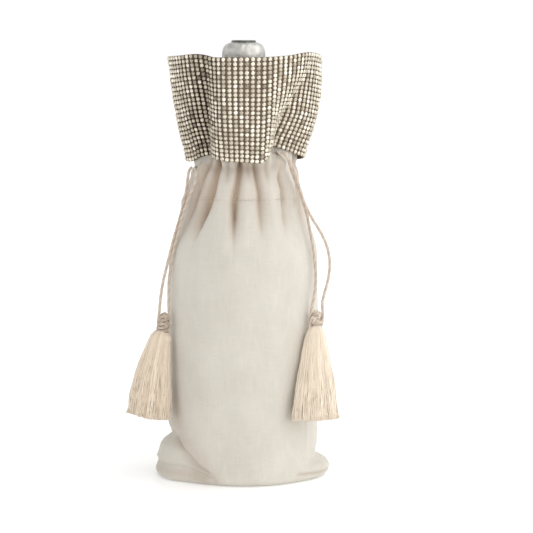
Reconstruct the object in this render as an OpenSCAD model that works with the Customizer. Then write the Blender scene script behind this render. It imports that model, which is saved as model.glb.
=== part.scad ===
/* [Bag] */
// Outer radius of the filled bag at its widest
bag_r = 53.2; // [52:0.1:56]
// Thickness of the linen cloth
cloth_t = 0.8; // [0.6:0.1:1]
// Height of the cloth, from the floor to the top hem
hem_z = 250; // [248:1:254]
// Half width of the base, from the centre to the tip of a bottom corner
corner_reach = 64; // [60:1:66]
// Half depth of the base, from the centre to the front edge
base_half_depth = 44; // [43:1:46]
// Height of the soft fold at each bottom corner
corner_h = 28; // [20:1:32]

/* [Collar] */
// Height of the collar's lower edge above the floor
collar_z = 228; // [228:1:229]
// Height of the collar's upper edge above the floor
collar_top_z = 300; // [292:1:304]
// Inner radius of the collar at its lower edge
collar_low_r = 41.3; // [41.2:0.1:42]
// Inner radius of the collar at its upper edge
collar_high_r = 50.6; // [48:0.1:52]
// Depth of the waves round the collar
lobe_depth = 1.4; // [0.8:0.1:2]
// Thickness of the net that carries the stones
net_t = 0.6; // [0.4:0.1:0.8]
// Height of the stones above the net
stone_h = 1.8; // [1.4:0.1:2]

/* [Bottle] */
// Outer radius of the bottle's body
bottle_r = 36.25; // [35:0.25:36.25]
// Height of the bottle, from its foot to the top of its foil
bottle_h = 308.6; // [300:0.1:312]
// Thickness of the glass
glass_t = 3; // [2.5:0.1:3.5]
// Outer radius of the foil round the neck
foil_r = 15.3; // [15:0.1:16]

/* [Drawcords] */
// Diameter of a drawcord
cord_d = 2.2; // [1.8:0.1:2.2]
// Radius of a cord's knot
knot_r = 6.2; // [6:0.1:6.4]
// Length of a tassel, from the hinge to the ends of its yarns
tassel_len = 60; // [55:1:61]
// Radius of a tassel at the ends of its yarns
tassel_r = 13.5; // [12:0.5:13.5]

/* [Hidden] */
$fn = 96;
gap = 0.05;

// Outer outline of the filled bag, as radius and height, from the floor to the hem.
neck_r = 40.2;
hem_r = 38.6;
bag_outline = [
    [base_half_depth, 0], [base_half_depth + 2.6, 4], [base_half_depth + 5.2, 14], [bag_r - 1.5, 32],
    [bag_r - 0.2, 60], [bag_r, 100], [bag_r - 0.6, 140], [bag_r - 1.8, 163], [48.4, 178], [44.2, 199],
    [41.2, 212], [neck_r, 219], [neck_r, 238], [hem_r, 241], [hem_r, hem_z],
];
last = len(bag_outline) - 1;

// The casing is a second ply of cloth inside the neck; the cords run between the two plies.
casing_z = 200;
casing_t = 0.6;
casing_in_r = 36.9;
casing_outline = [[42.2, casing_z], [39.1, 212], [casing_in_r, 219], [casing_in_r, hem_z]];
channel_cord_r = 0.9;
channel_r = casing_in_r + casing_t + gap + channel_cord_r;

// Heights and bearings of the two cord exits. A bearing is counted from the front, to the right.
left_exit_z = 223;
left_exit_bearing = -58;
right_exit_z = 234;
right_exit_bearing = 40;
buttonhole_r = 3;
buttonhole_rim = 1.4;
buttonhole_t = 0.6;

// The tape joins the collar to the hem.
tape_z = 242;
collar_cols = 72;
collar_rows = 4;
// The collar's lower edge lifts over the right-hand cord exit.
lift_bearing = right_exit_bearing;
lift_h = 12;
lift_half_angle = 26;

// Bottle outline, from the foot of the wall to the rim, as radius and height above the foot.
bottle_z = 1.4;
glass_top = bottle_h - 1.6;
finish_r = 14.6;
lip_r = 4.4;
shoulder_z = 188;
shoulder_h = 44;
neck_z = 242;
// The round lip of the glass, from its side up to its top, moved out by a distance.
function lip(by) = [for (a = [0:15:90])
    [finish_r - lip_r + (lip_r + by) * cos(a), glass_top - lip_r + (lip_r + by) * sin(a)]];
bottle_outline = concat(
    [[bottle_r - 4, 0], [bottle_r - 1.2, 1.2], [bottle_r, 5]],
    [for (a = [0:15:75])
        [finish_r + (bottle_r - finish_r) * cos(a) ^ 0.9, shoulder_z + shoulder_h * sin(a)]],
    [[finish_r, neck_z]], lip(0)
);
wine_z = 262;
punt_r = 27;
punt_h = 18;

// Where each knot hangs, the lean of the tassel under it and the way that it leans.
left_knot = [-56.5, -20, 113];
right_knot = [50.5, -33, 117];
hinge_drop = 8.7;
left_lean = 12;
left_lean_way = [-0.927, -0.375];
right_lean = 10.4;
right_lean_way = [0.156, -0.988];
knot_half = 2;
head_r = 5.2;

// The free stretch of each drawcord: out of the buttonhole, down, round inside the knot and back up.
left_route = [
    [-36.2, -20.6, 223], [-38, -21.3, 221.5], [-39.2, -21.3, 216], [-40.2, -21.2, 208],
    [-42.5, -20.5, 197], [-45.2, -19.8, 187], [-48.5, -19, 176], [-51.5, -18.5, 165],
    [-54.3, -18.3, 154], [-57, -18.5, 143], [-58.8, -19, 132.5], [-59.6, -19.6, 124.5],
    [-60.2, -20, 118.5], [-60.8, -20, 113.5], [-59.8, -20, 109.1], [-56.5, -20, 106.9],
    [-53.2, -20, 109.1], [-52.2, -20, 113.5], [-52.9, -20, 118.5], [-53.3, -19.4, 124.5],
    [-53.3, -18.5, 133], [-53, -18, 143], [-51.5, -18.2, 154], [-49.5, -19.3, 165],
    [-46.5, -21, 176], [-43.6, -22.4, 187], [-40.4, -23.6, 197], [-36.8, -25.1, 206],
    [-34, -26.8, 213], [-33, -27.2, 218], [-33.4, -26.2, 221.4], [-34.5, -23.9, 223.2],
];
right_route = [
    [25.8, -32.5, 234], [28.6, -34.2, 233], [31.6, -33.4, 228], [35.5, -30.8, 220],
    [38.5, -29.2, 210], [42.5, -28, 198], [47.5, -27, 188], [54.2, -26, 177],
    [58.4, -25.8, 167], [60.2, -26, 156], [59.2, -27.2, 146], [57, -29, 137.5],
    [54.9, -31.2, 129.5], [55, -32.6, 123.5], [54.9, -33, 117.5], [53.8, -33, 113.1],
    [50.5, -33, 110.9], [47.2, -33, 113.1], [46.2, -33, 117.5], [46.9, -32.6, 123.5],
    [48.5, -30.4, 130], [50, -27, 138.5], [50.6, -23.8, 147], [49.8, -22.8, 156],
    [48.6, -22.4, 166], [46.8, -21.8, 176], [44.6, -21.4, 188], [41.8, -22.2, 198],
    [37.6, -25, 210], [33.6, -27.8, 220], [31.2, -29.4, 228], [29.8, -30, 232.6],
    [27.8, -30.8, 234],
];

linen = "Linen";
yarn = "Wheat";
silver = "Silver";

// A bearing's direction in plan.
function toward(bearing) = [sin(bearing), -cos(bearing), 0];

// An outline moved out by a distance.
function grown(outline, by) = [for (p = outline) [p[0] + by, p[1]]];

// Solid of revolution under an outline, closed down the axis.
module spun(outline) {
    rotate_extrude()
        polygon(concat([[0, outline[0][1]]], outline, [[0, outline[len(outline) - 1][1]]]));
}

// Ring of cloth between an outline and the same outline moved out by a thickness.
module spun_skin(outline, t) {
    n = len(outline);
    rotate_extrude()
        polygon(concat(grown(outline, t), [for (i = [n - 1:-1:0]) outline[i]]));
}

// Plan of the base: two arcs that meet in a point at each bottom corner.
module base_plan() {
    arc_r = (corner_reach ^ 2 + base_half_depth ^ 2) / (2 * base_half_depth);
    intersection() {
        translate([0, arc_r - base_half_depth]) circle(r = arc_r, $fn = 180);
        translate([0, base_half_depth - arc_r]) circle(r = arc_r, $fn = 180);
    }
}

// Radial cylinder at a cord exit.
module exit_bore(bearing, z, r) {
    translate([0, 0, z])
        rotate([0, 0, bearing])
            translate([0, -hem_r + 2, 0])
                rotate([90, 0, 0])
                    cylinder(r = r, h = 10);
}

// The whole cloth shell with its two corners and its cord exits.
module cloth_shell() {
    inner = concat([[bag_outline[0][0] - cloth_t, cloth_t]],
        [for (i = [1:last]) [bag_outline[i][0] - cloth_t, bag_outline[i][1]]],
        [[hem_r - cloth_t, hem_z + 1]]);
    difference() {
        union() {
            spun(bag_outline);
            intersection() {
                linear_extrude(corner_h) base_plan();
                cylinder(r1 = corner_reach + 1, r2 = bag_r - 2, h = corner_h);
            }
        }
        spun(inner);
        exit_bore(left_exit_bearing, left_exit_z, buttonhole_r);
        exit_bore(right_exit_bearing, right_exit_z, buttonhole_r);
    }
}

// The half of the cloth on one side of the seams: side is -1 in front and 1 behind.
module panel(side) {
    reach = corner_reach + 10;
    color(linen)
        intersection() {
            cloth_shell();
            translate([-reach, side < 0 ? -reach : 0, -1]) cube([2 * reach, reach, hem_z + 2]);
        }
}

module front_panel() {
    panel(-1);
}

module back_panel() {
    panel(1);
}

// Rows of thread down both side seams, from the bottom corners to the casing.
module side_seam_stitching() {
    thread_t = 0.4;
    thread_angle = 0.8;
    seam = [for (i = [3:9]) bag_outline[i]];
    n = len(seam);
    for (side = [0, 180])
        color(linen)
            rotate([0, 0, side - thread_angle / 2])
                rotate_extrude(angle = thread_angle)
                    polygon(concat(grown(seam, gap + thread_t),
                        [for (i = [n - 1:-1:0]) [seam[i][0] + gap, seam[i][1]]]));
}

// The thread across the floor of the bag, from corner to corner.
module bottom_seam_stitching() {
    length = 2 * (base_half_depth - 4);
    color(linen)
        translate([-length / 2, -0.4, cloth_t]) cube([length, 0.8, 0.5]);
}

// The row of thread that holds the lower edge of the casing.
module casing_stitching() {
    row_z = 202;
    row_r = 43.6;
    color(linen)
        translate([0, 0, row_z])
            difference() {
                cylinder(r = row_r + 0.6, h = 0.6);
                translate([0, 0, -1]) cylinder(r = row_r, h = 3);
            }
}

module drawcord_casing() {
    color(linen) spun_skin(casing_outline, casing_t);
}

// Bound rim of a buttonhole, curved to lie on the cloth.
module buttonhole(bearing, z) {
    reach = buttonhole_r + buttonhole_rim;
    color(linen)
        intersection() {
            spun_skin([[neck_r + gap, z - reach], [neck_r + gap, z + reach - (z > 230 ? 0.6 : 0)]],
                buttonhole_t);
            difference() {
                exit_bore(bearing, z, reach);
                exit_bore(bearing, z, buttonhole_r);
            }
        }
}

module left_buttonhole() {
    buttonhole(left_exit_bearing, left_exit_z);
}

module right_buttonhole() {
    buttonhole(right_exit_bearing, right_exit_z);
}

module collar_tape() {
    color(linen)
        translate([0, 0, tape_z])
            difference() {
                cylinder(r = 41, h = hem_z - tape_z);
                translate([0, 0, -1]) cylinder(r = hem_r + gap, h = hem_z);
            }
}

// Height of the collar's lower edge at an angle in plan, where -90 is the front.
function lift_at(a) =
    let (off = abs(a - (lift_bearing - 90)))
    off < lift_half_angle ? lift_h * (1 + cos(180 * off / lift_half_angle)) / 2 : 0;

// Inner radius of the collar at an angle and at a share of its height.
function collar_r(a, s) =
    collar_low_r + (collar_high_r - collar_low_r) * s + lobe_depth * (1 + cos(6 * a)) / 2;

// One ply of the collar: a closed wavy ring, from one offset to the next.
module collar_ply(from, to) {
    n = collar_cols;
    m = collar_rows;
    angles = [for (j = [0:n - 1]) -180 + 360 * j / n];
    function ring_pt(a, i, off) =
        let (s = i / m)
        let (z = (collar_z + lift_at(a)) * (1 - s) + collar_top_z * s)
        let (r = collar_r(a, (z - collar_z) / (collar_top_z - collar_z)) + off)
        [r * cos(a), r * sin(a), z];
    pts = concat(
        [for (i = [0:m]) for (a = angles) ring_pt(a, i, to)],
        [for (i = [0:m]) for (a = angles) ring_pt(a, i, from)]);
    inside = n * (m + 1);
    faces = concat(
        [for (i = [0:m - 1]) for (j = [0:n - 1])
            let (k = (j + 1) % n, p = i * n)
            each [[p + j, p + n + j, p + k], [p + k, p + n + j, p + n + k]]],
        [for (i = [0:m - 1]) for (j = [0:n - 1])
            let (k = (j + 1) % n, p = inside + i * n)
            each [[p + j, p + k, p + n + j], [p + k, p + n + k, p + n + j]]],
        [for (j = [0:n - 1])
            let (k = (j + 1) % n)
            each [[j, k, inside + j], [k, inside + k, inside + j]]],
        [for (j = [0:n - 1])
            let (k = (j + 1) % n, p = m * n)
            each [[p + j, inside + p + j, p + k], [p + k, inside + p + j, inside + p + k]]]);
    polyhedron(points = pts, faces = faces, convexity = 6);
}

module collar_mesh() {
    color("DimGray") collar_ply(0, net_t);
}

module collar_stones() {
    color(silver) collar_ply(net_t + gap, net_t + stone_h);
}

// The part of a drawcord that goes round inside the casing.
module channel_cord(z) {
    color(yarn)
        translate([0, 0, z])
            rotate_extrude()
                translate([channel_r, 0]) circle(r = channel_cord_r, $fn = 24);
}

module left_channel_cord() {
    channel_cord(left_exit_z);
}

module right_channel_cord() {
    channel_cord(right_exit_z);
}

function unit(v) = v / norm(v);

// A point on the smooth curve through b and c, at a share t of the way.
function curve_pt(a, b, c, d, t) =
    (2 * b + (c - a) * t + (2 * a - 5 * b + 4 * c - d) * t ^ 2 + (3 * b - a - 3 * c + d) * t ^ 3) / 2;

// A route with one more point between each two.
function smooth(route) =
    let (n = len(route))
    [for (i = [0:n - 2]) each [
        route[i],
        curve_pt(route[max(i - 1, 0)], route[i], route[i + 1], route[min(i + 2, n - 1)], 0.5)
    ], route[n - 1]];

// A round cord swept along a route.
module cord(route) {
    sides = 8;
    path = smooth(route);
    n = len(path);
    function across(i) = unit(cross(path[min(i + 1, n - 1)] - path[max(i - 1, 0)], [0, 1, 0]));
    function beside(i) = unit(cross(path[min(i + 1, n - 1)] - path[max(i - 1, 0)], across(i)));
    pts = [for (i = [0:n - 1]) for (k = [0:sides - 1])
        path[i] + cord_d / 2 * (across(i) * cos(360 * k / sides) + beside(i) * sin(360 * k / sides))];
    faces = concat(
        [[for (k = [sides - 1:-1:0]) k]],
        [for (i = [0:n - 2]) for (k = [0:sides - 1])
            let (q = (k + 1) % sides, p = i * sides)
            each [[p + k, p + q, p + sides + k], [p + q, p + sides + q, p + sides + k]]],
        [[for (k = [0:sides - 1]) (n - 1) * sides + k]]);
    color(yarn) polyhedron(points = pts, faces = faces, convexity = 10);
}

module left_drawcord() {
    cord(left_route);
}

module right_drawcord() {
    cord(right_route);
}

// The knot in which both ends of a drawcord meet.
module knot(at) {
    color(yarn)
        translate(at)
            union() {
                translate([0, 0, -knot_half]) sphere(r = knot_r);
                translate([0, 0, -knot_half]) cylinder(r = knot_r, h = 2 * knot_half);
                translate([0, 0, knot_half]) sphere(r = knot_r);
            }
}

module left_cord_knot() {
    knot(left_knot);
}

module right_cord_knot() {
    knot(right_knot);
}

// Places a tassel's piece, drawn hanging down from the origin, under its knot.
module under_knot(at, lean, way) {
    translate(at - [0, 0, hinge_drop])
        rotate(a = lean, v = [way[1], -way[0], 0])
            children();
}

// The bound head of a tassel, with the short hanger over it.
module tassel_head() {
    color(yarn)
        rotate_extrude()
            polygon([[0, -4.6], [4.6, -4.6], [head_r, -3.8], [head_r, -3], [4.2, -2.2], [1.2, -1.6],
                [0.9, -0.8], [0, -0.8]]);
}

// The thread wound round the neck of a tassel.
module tassel_wrap() {
    color("Tan")
        rotate_extrude()
            polygon([[0, -7.4], [5.1, -7.4], [5.3, -6], [4.9, -4.65], [0, -4.65]]);
}

module tassel_skirt() {
    color(yarn)
        rotate_extrude()
            polygon([[0, -7.45], [5.2, -7.45], [7, -14], [9.2, -27], [11.6, -41],
                [tassel_r, -tassel_len + 3], [tassel_r - 0.5, -tassel_len], [0, -tassel_len]]);
}

module left_tassel_head() {
    under_knot(left_knot, left_lean, left_lean_way) tassel_head();
}

module left_tassel_wrap() {
    under_knot(left_knot, left_lean, left_lean_way) tassel_wrap();
}

module left_tassel_skirt() {
    under_knot(left_knot, left_lean, left_lean_way) tassel_skirt();
}

module right_tassel_head() {
    under_knot(right_knot, right_lean, right_lean_way) tassel_head();
}

module right_tassel_wrap() {
    under_knot(right_knot, right_lean, right_lean_way) tassel_wrap();
}

module right_tassel_skirt() {
    under_knot(right_knot, right_lean, right_lean_way) tassel_skirt();
}

// The inside of the glass, up through the neck.
module bottle_bore(top) {
    wall = [for (p = bottle_outline) if (p[1] > 4 && p[1] < neck_z) [p[0] - glass_t, p[1]]];
    bore_r = 9.4;
    difference() {
        spun(concat([[bottle_r - glass_t - 3, 4]], [for (p = wall) [max(p[0], bore_r), max(p[1], 7)]],
            [[bore_r, neck_z], [bore_r, top]]));
        cylinder(r1 = punt_r + 3, r2 = 4, h = punt_h + 5);
    }
}

module bottle_glass() {
    color("DarkOliveGreen")
        translate([0, 0, bottle_z])
            difference() {
                spun(bottle_outline);
                bottle_bore(bottle_h + 5);
                translate([0, 0, -0.01]) cylinder(r1 = punt_r, r2 = 2, h = punt_h);
            }
}

module wine_fill() {
    color("DarkRed")
        translate([0, 0, bottle_z])
            bottle_bore(wine_z);
}

module cork() {
    cork_h = 42;
    color("Peru")
        translate([0, 0, bottle_z + glass_top - cork_h]) cylinder(r = 9.35, h = cork_h);
}

// The foil sleeve: it covers the neck and rounds over the rim, open round the top disc.
module foil_capsule() {
    low = 252;
    clear = 0.1;
    round_r = 7;
    hole_r = 7;
    bend = [for (a = [0:15:90]) [foil_r - round_r + round_r * cos(a), bottle_h - round_r + round_r * sin(a)]];
    under = lip(clear);
    color(silver)
        translate([0, 0, bottle_z])
            rotate_extrude()
                polygon(concat([[finish_r + clear, low], [foil_r, low]], bend,
                    [[hole_r, bottle_h], [hole_r, glass_top + clear]],
                    [for (i = [len(under) - 1:-1:0]) under[i]]));
}

module capsule_disc() {
    color(silver)
        translate([0, 0, bottle_z + bottle_h + gap])
            cylinder(r = 7.8, h = 0.5);
}

front_panel();
back_panel();
side_seam_stitching();
bottom_seam_stitching();
casing_stitching();
drawcord_casing();
left_buttonhole();
right_buttonhole();
collar_tape();
collar_mesh();
collar_stones();
left_channel_cord();
right_channel_cord();
left_drawcord();
left_cord_knot();
left_tassel_head();
left_tassel_wrap();
left_tassel_skirt();
right_drawcord();
right_cord_knot();
right_tassel_head();
right_tassel_wrap();
right_tassel_skirt();
bottle_glass();
wine_fill();
cork();
foil_capsule();
capsule_disc();
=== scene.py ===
"""Looks of a linen wine gift bag: stone collar, gathered cloth, drawcords with tassels and a foiled bottle.

Lengths in the making functions are in millimetres and angles in degrees. Bearings are counted from the
front to the right. Meshes are written in metres.
"""
import math
import random

import bpy
import numpy as np
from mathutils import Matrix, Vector, noise


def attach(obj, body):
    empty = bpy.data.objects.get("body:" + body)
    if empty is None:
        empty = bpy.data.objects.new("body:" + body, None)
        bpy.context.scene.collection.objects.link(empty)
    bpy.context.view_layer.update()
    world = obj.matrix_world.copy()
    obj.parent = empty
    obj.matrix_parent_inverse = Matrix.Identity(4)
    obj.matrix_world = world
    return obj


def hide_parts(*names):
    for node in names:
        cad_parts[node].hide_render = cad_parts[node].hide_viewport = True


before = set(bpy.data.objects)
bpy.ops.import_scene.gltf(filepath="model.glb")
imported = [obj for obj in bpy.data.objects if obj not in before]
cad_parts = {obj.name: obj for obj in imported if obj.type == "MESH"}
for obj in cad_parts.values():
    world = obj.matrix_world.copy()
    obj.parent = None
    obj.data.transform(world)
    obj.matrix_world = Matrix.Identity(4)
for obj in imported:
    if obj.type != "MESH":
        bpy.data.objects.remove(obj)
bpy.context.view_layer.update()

MM = 0.001
TAU = 2 * math.pi
UP = np.array([0, 0, 1.0])


# ---------------------------------------------------------------- camera

# Where the camera stands and where it looks, in metres.
CAMERA_AT = (0, -1.2, 0.303)
CAMERA_AIM = (0.0161, 0, 0.1506)


def look_at(obj, target):
    aim = Vector(target) - obj.location
    obj.rotation_euler = aim.to_track_quat("-Z", "Y").to_euler()


scene = bpy.context.scene
camera = bpy.data.objects.new("camera", bpy.data.cameras.new("camera"))
scene.collection.objects.link(camera)
camera.data.sensor_width = 36
camera.data.lens = 114.0
camera.location = CAMERA_AT
look_at(camera, CAMERA_AIM)
scene.camera = camera
scene.view_settings.view_transform = "Standard"


# ---------------------------------------------------------------- mesh helpers

class Soup:
    """Vertices, faces and one number per vertex, gathered before they become one mesh."""

    def __init__(self):
        self.verts, self.faces, self.tones, self.count = [], [], [], 0

    def add(self, verts, faces, tone):
        verts = np.asarray(verts, float).reshape(-1, 3)
        self.verts.append(verts)
        self.faces.extend([tuple(i + self.count for i in f) for f in faces])
        self.tones.append(np.full(len(verts), float(tone)))
        self.count += len(verts)

    def piece(self, name, mat, smooth=True):
        obj = mesh_piece(name, np.vstack(self.verts), self.faces, mat, smooth)
        vertex_numbers(obj, "tone", np.concatenate(self.tones))
        return obj


def mesh_piece(name, verts, faces, mat, smooth=True):
    mesh = bpy.data.meshes.new(name)
    mesh.from_pydata((np.asarray(verts, float) * MM).tolist(), [], [tuple(map(int, f)) for f in faces])
    mesh.update()
    mesh.polygons.foreach_set("use_smooth", [smooth] * len(mesh.polygons))
    mesh.materials.append(mat)
    obj = bpy.data.objects.new(name, mesh)
    scene.collection.objects.link(obj)
    return obj


def vertex_numbers(obj, name, values):
    """One number per vertex, as a named attribute."""
    attribute = obj.data.attributes.new(name, "FLOAT", "POINT")
    attribute.data.foreach_set("value", np.asarray(values).ravel().astype(np.float32))


def cloth_places(obj, places):
    """Where each vertex lies on its flat cloth, as the attribute cloth in metres."""
    attribute = obj.data.attributes.new("cloth", "FLOAT_VECTOR", "POINT")
    attribute.data.foreach_set("vector", (places.reshape(-1, 3) * MM).astype(np.float32).ravel())


def thicken(obj, thickness, offset):
    solid = obj.modifiers.new("thickness", "SOLIDIFY")
    solid.thickness = thickness * MM
    solid.offset = offset


def grid_faces(rows, cols, wrap):
    """Quads of a grid of vertices, joined to a ring if its rows wrap."""
    i = np.arange(rows - 1)[:, None]
    j = np.arange(cols if wrap else cols - 1)[None, :]
    a = i * cols + j
    b = i * cols + (j + 1) % cols
    return np.stack([a, a + cols, b + cols, b], -1).reshape(-1, 4)


def run_along(path):
    """Distance from the start at each point of a path."""
    return np.concatenate([[0], np.cumsum(np.linalg.norm(np.diff(path, axis=0), axis=1))])


STEPS_BETWEEN = 8


def resample(points, step, closed=False):
    """Points on a smooth curve through the given ones, evenly spaced about a step apart."""
    p = np.asarray(points, float)
    n = len(p)
    fine = []
    for i in range(n if closed else n - 1):
        if closed:
            a, b, c, d = p[i - 1], p[i], p[(i + 1) % n], p[(i + 2) % n]
        else:
            a, b, c, d = p[max(i - 1, 0)], p[i], p[i + 1], p[min(i + 2, n - 1)]
        for t in np.arange(STEPS_BETWEEN) / STEPS_BETWEEN:
            fine.append((2 * b + (c - a) * t + (2 * a - 5 * b + 4 * c - d) * t ** 2
                         + (3 * b - a - 3 * c + d) * t ** 3) / 2)
    fine.append(p[0] if closed else p[-1])
    fine = np.array(fine)
    run = run_along(fine)
    at = np.linspace(0, run[-1], max(3, int(round(run[-1] / step)) + 1))
    out = np.stack([np.interp(at, run, fine[:, k]) for k in range(3)], 1)
    return out[:-1] if closed else out


def frames_along(path, closed=False):
    """Tangent and two steady side directions at each point of a path."""
    n = len(path)
    if closed:
        tangent = np.roll(path, -1, 0) - np.roll(path, 1, 0)
    else:
        tangent = np.gradient(path, axis=0)
    tangent /= np.linalg.norm(tangent, axis=1)[:, None]
    side = np.zeros_like(path)
    ref = np.array([0.0, 1.0, 0.0]) if abs(tangent[0][1]) < 0.9 else np.array([1.0, 0.0, 0.0])
    ref = ref - tangent[0] * ref.dot(tangent[0])
    side[0] = ref / np.linalg.norm(ref)
    for i in range(1, n):
        v = side[i - 1] - tangent[i] * side[i - 1].dot(tangent[i])
        side[i] = v / np.linalg.norm(v)
    if closed:
        last = side[-1] - tangent[0] * side[-1].dot(tangent[0])
        last /= np.linalg.norm(last)
        turn = math.atan2(np.cross(last, side[0]).dot(tangent[0]), last.dot(side[0]))
        for i in range(n):
            a = turn * i / n
            side[i] = side[i] * math.cos(a) + np.cross(tangent[i], side[i]) * math.sin(a)
    return tangent, side, np.cross(tangent, side)


def tube(path, radius, sides, closed=False):
    """Round tube along a path, with pointed ends where it is open."""
    path = np.asarray(path, float)
    tangent, u, v = frames_along(path, closed)
    n = len(path)
    a = np.arange(sides) * TAU / sides
    ring = u[:, None, :] * np.cos(a)[None, :, None] + v[:, None, :] * np.sin(a)[None, :, None]
    verts = (path[:, None, :] + ring * radius).reshape(-1, 3)
    rows = np.arange(n if closed else n - 1)[:, None]
    k = np.arange(sides)[None, :]
    low, high = rows * sides, ((rows + 1) % n) * sides
    nxt = (k + 1) % sides
    faces = np.stack([low + k, low + nxt, high + nxt, high + k], -1).reshape(-1, 4).tolist()
    if not closed:
        tips = np.array([path[0] - tangent[0] * radius * 0.5, path[-1] + tangent[-1] * radius * 0.5])
        first, final, end = n * sides, n * sides + 1, (n - 1) * sides
        verts = np.vstack([verts, tips])
        faces += [(first, (j + 1) % sides, j) for j in range(sides)]
        faces += [(final, end + j, end + (j + 1) % sides) for j in range(sides)]
    return verts, faces


# A twisted cord: its plies, the length of one turn, and a ply's radius as a share of the cord's diameter.
PLIES, LAY, PLY_SHARE = 3, 6.5, 0.26


def twisted(soup, path, diameter, closed=False, tone=0.5, sides=7):
    """A cord of a few plies twisted together along a path."""
    path = np.asarray(path, float)
    _, u, v = frames_along(path, closed)
    run = run_along(path)
    turns = run / LAY
    if closed:
        whole = run[-1] + np.linalg.norm(path[0] - path[-1])
        turns = run / whole * max(1, round(whole / LAY))
    ply_r = PLY_SHARE * diameter
    off = diameter / 2 - ply_r
    for k in range(PLIES):
        a = TAU * (turns + k / PLIES)
        centre = path + off * (u * np.cos(a)[:, None] + v * np.sin(a)[:, None])
        soup.add(*tube(centre, ply_r, sides, closed), tone=tone + 0.12 * (k - 1))


# ---------------------------------------------------------------- materials

class Look:
    """A procedural material, built round one Principled shader."""

    def __init__(self, name, rough=0.6, metal=0.0, **sockets):
        self.mat = bpy.data.materials.new(name)
        self.mat.use_nodes = True
        self.tree = self.mat.node_tree
        self.shader = self.tree.nodes["Principled BSDF"]
        self.set(self.shader, {"Roughness": rough, "Metallic": metal, **sockets})

    def set(self, node, inputs):
        for key, value in inputs.items():
            if isinstance(value, bpy.types.NodeSocket):
                self.tree.links.new(value, node.inputs[key])
            else:
                node.inputs[key].default_value = value

    def node(self, kind, inputs=None, **props):
        node = self.tree.nodes.new("ShaderNode" + kind)
        for key, value in props.items():
            setattr(node, key, value)
        self.set(node, inputs or {})
        return node

    def attribute(self, name, output="Vector"):
        return self.node("Attribute", attribute_name=name).outputs[output]

    def position(self):
        return self.node("TexCoord").outputs["Object"]

    def scaled(self, vector, scale):
        return self.node("Mapping", {"Vector": vector, "Scale": scale}).outputs["Vector"]

    def noise(self, vector, scale, detail=2.0, rough=0.5):
        made = self.node("TexNoise", {"Vector": vector, "Scale": scale, "Detail": detail})
        made.inputs["Roughness"].default_value = rough
        return made.outputs["Fac"]

    def streaks(self, vector, scale, rough=0.6):
        """Noise with its own scale along each axis."""
        return self.noise(self.scaled(vector, scale), 1.0, 3.0, rough)

    def math(self, operation, a, b=0.0, c=0.0):
        made = self.node("Math", operation=operation)
        self.set(made, {0: a, 1: b, 2: c})
        return made.outputs[0]

    def ramp(self, value, *stops):
        made = self.node("ValToRGB", {"Fac": value})
        ramp = made.color_ramp
        while len(ramp.elements) < len(stops):
            ramp.elements.new(0.5)
        for element, (at, colour) in zip(ramp.elements, stops):
            element.position = at
            element.color = (*colour, 1)
        return made.outputs["Color"]

    def deepen(self, share, colour, by):
        """A colour multiplied by another one as far as the share goes."""
        made = self.node("Mix", data_type="RGBA", blend_type="MULTIPLY")
        self.set(made, {"Factor": share, 6: colour, 7: (*by, 1)})
        return made.outputs[2]

    def bump(self, height, strength, distance):
        made = self.node("Bump", {"Height": height, "Strength": strength, "Distance": distance})
        return made.outputs["Normal"]

    def finish(self, colour, normal=None, rough=None):
        for socket, value in (("Base Color", colour), ("Normal", normal), ("Roughness", rough)):
            if value is not None:
                self.set(self.shader, {socket: value})
        return self.mat


def linear(r, g, b):
    """Linear colour of 0 to 255 display values."""
    return tuple(((c / 255 + 0.055) / 1.055) ** 2.4 if c > 10 else c / 255 / 12.92 for c in (r, g, b))


def linen_look(name, light, dark, pitch=0.00062, depth=0.00014, lined_from=None):
    """Plain weave with slubs: the cloth's own coordinates come from the attribute cloth, in metres.

    Above the height lined_from the cloth has a second ply behind it and looks a little fuller. Deep in its
    folds, where the attribute for the folds' painted shade nears 1, the colour is made warmer and darker as
    painted shade.
    """
    sheen = {"Sheen Weight": 0.25, "Sheen Roughness": 0.5, "Specular IOR Level": 0.2}
    look = Look(name, rough=0.9, **sheen)
    cloth = look.attribute("cloth")
    parts = look.node("SeparateXYZ", {"Vector": cloth})
    waves = []
    for axis in ("X", "Y"):
        phase = look.math("MULTIPLY", parts.outputs[axis], math.pi / pitch)
        waves.append(look.math("SINE", phase))
    over = look.math("MULTIPLY", *waves)
    threads = []
    for wave, lift in zip(waves, (0.4, -0.4)):
        crown = look.math("ABSOLUTE", wave)
        threads.append(look.math("MULTIPLY", crown, look.math("MULTIPLY_ADD", over, lift, 0.6)))
    weave = look.math("MAXIMUM", *threads)
    slub_up = look.streaks(cloth, (1500, 70, 1))
    slub_across = look.streaks(cloth, (80, 1500, 1))
    cloud = look.streaks(cloth, (24, 24, 1), 0.55)
    slub = look.math("MAXIMUM", slub_up, slub_across)
    mixed = look.math("ADD", look.math("MULTIPLY", slub, 0.55), look.math("MULTIPLY", cloud, 0.4))
    mixed = look.math("ADD", mixed, look.math("MULTIPLY", weave, 0.12))
    if lined_from is not None:
        height = look.node("SeparateXYZ", {"Vector": look.position()}).outputs["Z"]
        edge = {"Value": height, "From Min": lined_from - 0.001, "From Max": lined_from}
        lined = look.node("MapRange", edge)
        mixed = look.math("ADD", mixed, look.math("MULTIPLY", lined.outputs["Result"], 0.06))
    colour = look.ramp(mixed, (0.34, dark), (0.74, light))
    # Painted shade: the colour is darkened and warmed deep in the folds.
    colour = look.deepen(look.attribute("fold", "Fac"), colour, (0.66, 0.53, 0.44))
    height = look.math("ADD", weave, look.math("MULTIPLY", slub, 1.2))
    return look.finish(colour, look.bump(height, 0.55, depth))


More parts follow.
